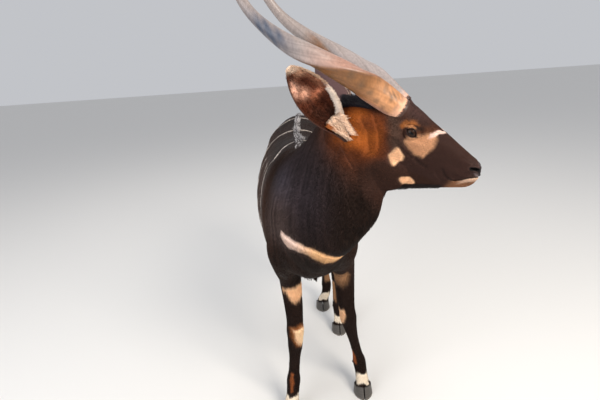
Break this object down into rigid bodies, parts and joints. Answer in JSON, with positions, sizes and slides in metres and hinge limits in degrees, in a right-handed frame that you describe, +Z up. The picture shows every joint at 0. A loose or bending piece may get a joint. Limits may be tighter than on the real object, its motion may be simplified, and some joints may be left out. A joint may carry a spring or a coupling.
{
  "type": "bongo antelope",
  "caption": "Standing bongo antelope, head turned to its left: spiralled horns, big cupped ears, cloven hooves, crest of hair along the back and tufted tail.",
  "frame": {"origin": "middle of the bounding box at floor level, under the animal", "axes": "+Z up; the animal faces -Y, its left side is +X"},
  "size_m": [0.785, 1.7024, 1.9809],
  "materials": {
    "coat": "short dark chestnut fur, near black, with white stripes on the flanks and white patches on face, chest and legs",
    "neck_coat": "short fur, orange chestnut behind the cheek, darkening to near black",
    "ear_skin": "short dark brown fur with a white fringe, thinly haired pink skin inside",
    "horn": "worn horn, mauve beige above the keel, tan below, with dark patches",
    "hoof": "satin blue-grey horn",
    "eye": "wet gloss, very dark brown"
  },
  "bodies": {
    "root": {"dewclaw_fore_left_inner": "hoof", "dewclaw_fore_left_outer": "hoof", "dewclaw_fore_right_inner": "hoof", "dewclaw_fore_right_outer": "hoof", "dewclaw_hind_left_inner": "hoof", "dewclaw_hind_left_outer": "hoof", "dewclaw_hind_right_inner": "hoof", "dewclaw_hind_right_outer": "hoof", "ear_left": "ear_skin", "ear_right": "ear_skin", "eye_left": "eye", "eye_right": "eye", "foreleg_left": "coat", "foreleg_right": "coat", "head": "coat", "hindleg_left": "coat", "hindleg_right": "coat", "hoof_fore_left_inner": "hoof", "hoof_fore_left_outer": "hoof", "hoof_fore_right_inner": "hoof", "hoof_fore_right_outer": "hoof", "hoof_hind_left_inner": "hoof", "hoof_hind_left_outer": "hoof", "hoof_hind_right_inner": "hoof", "hoof_hind_right_outer": "hoof", "horn_left": "horn", "horn_right": "horn", "neck": "neck_coat", "tail": "coat", "trunk": "coat"}
  },
  "joints": []
}
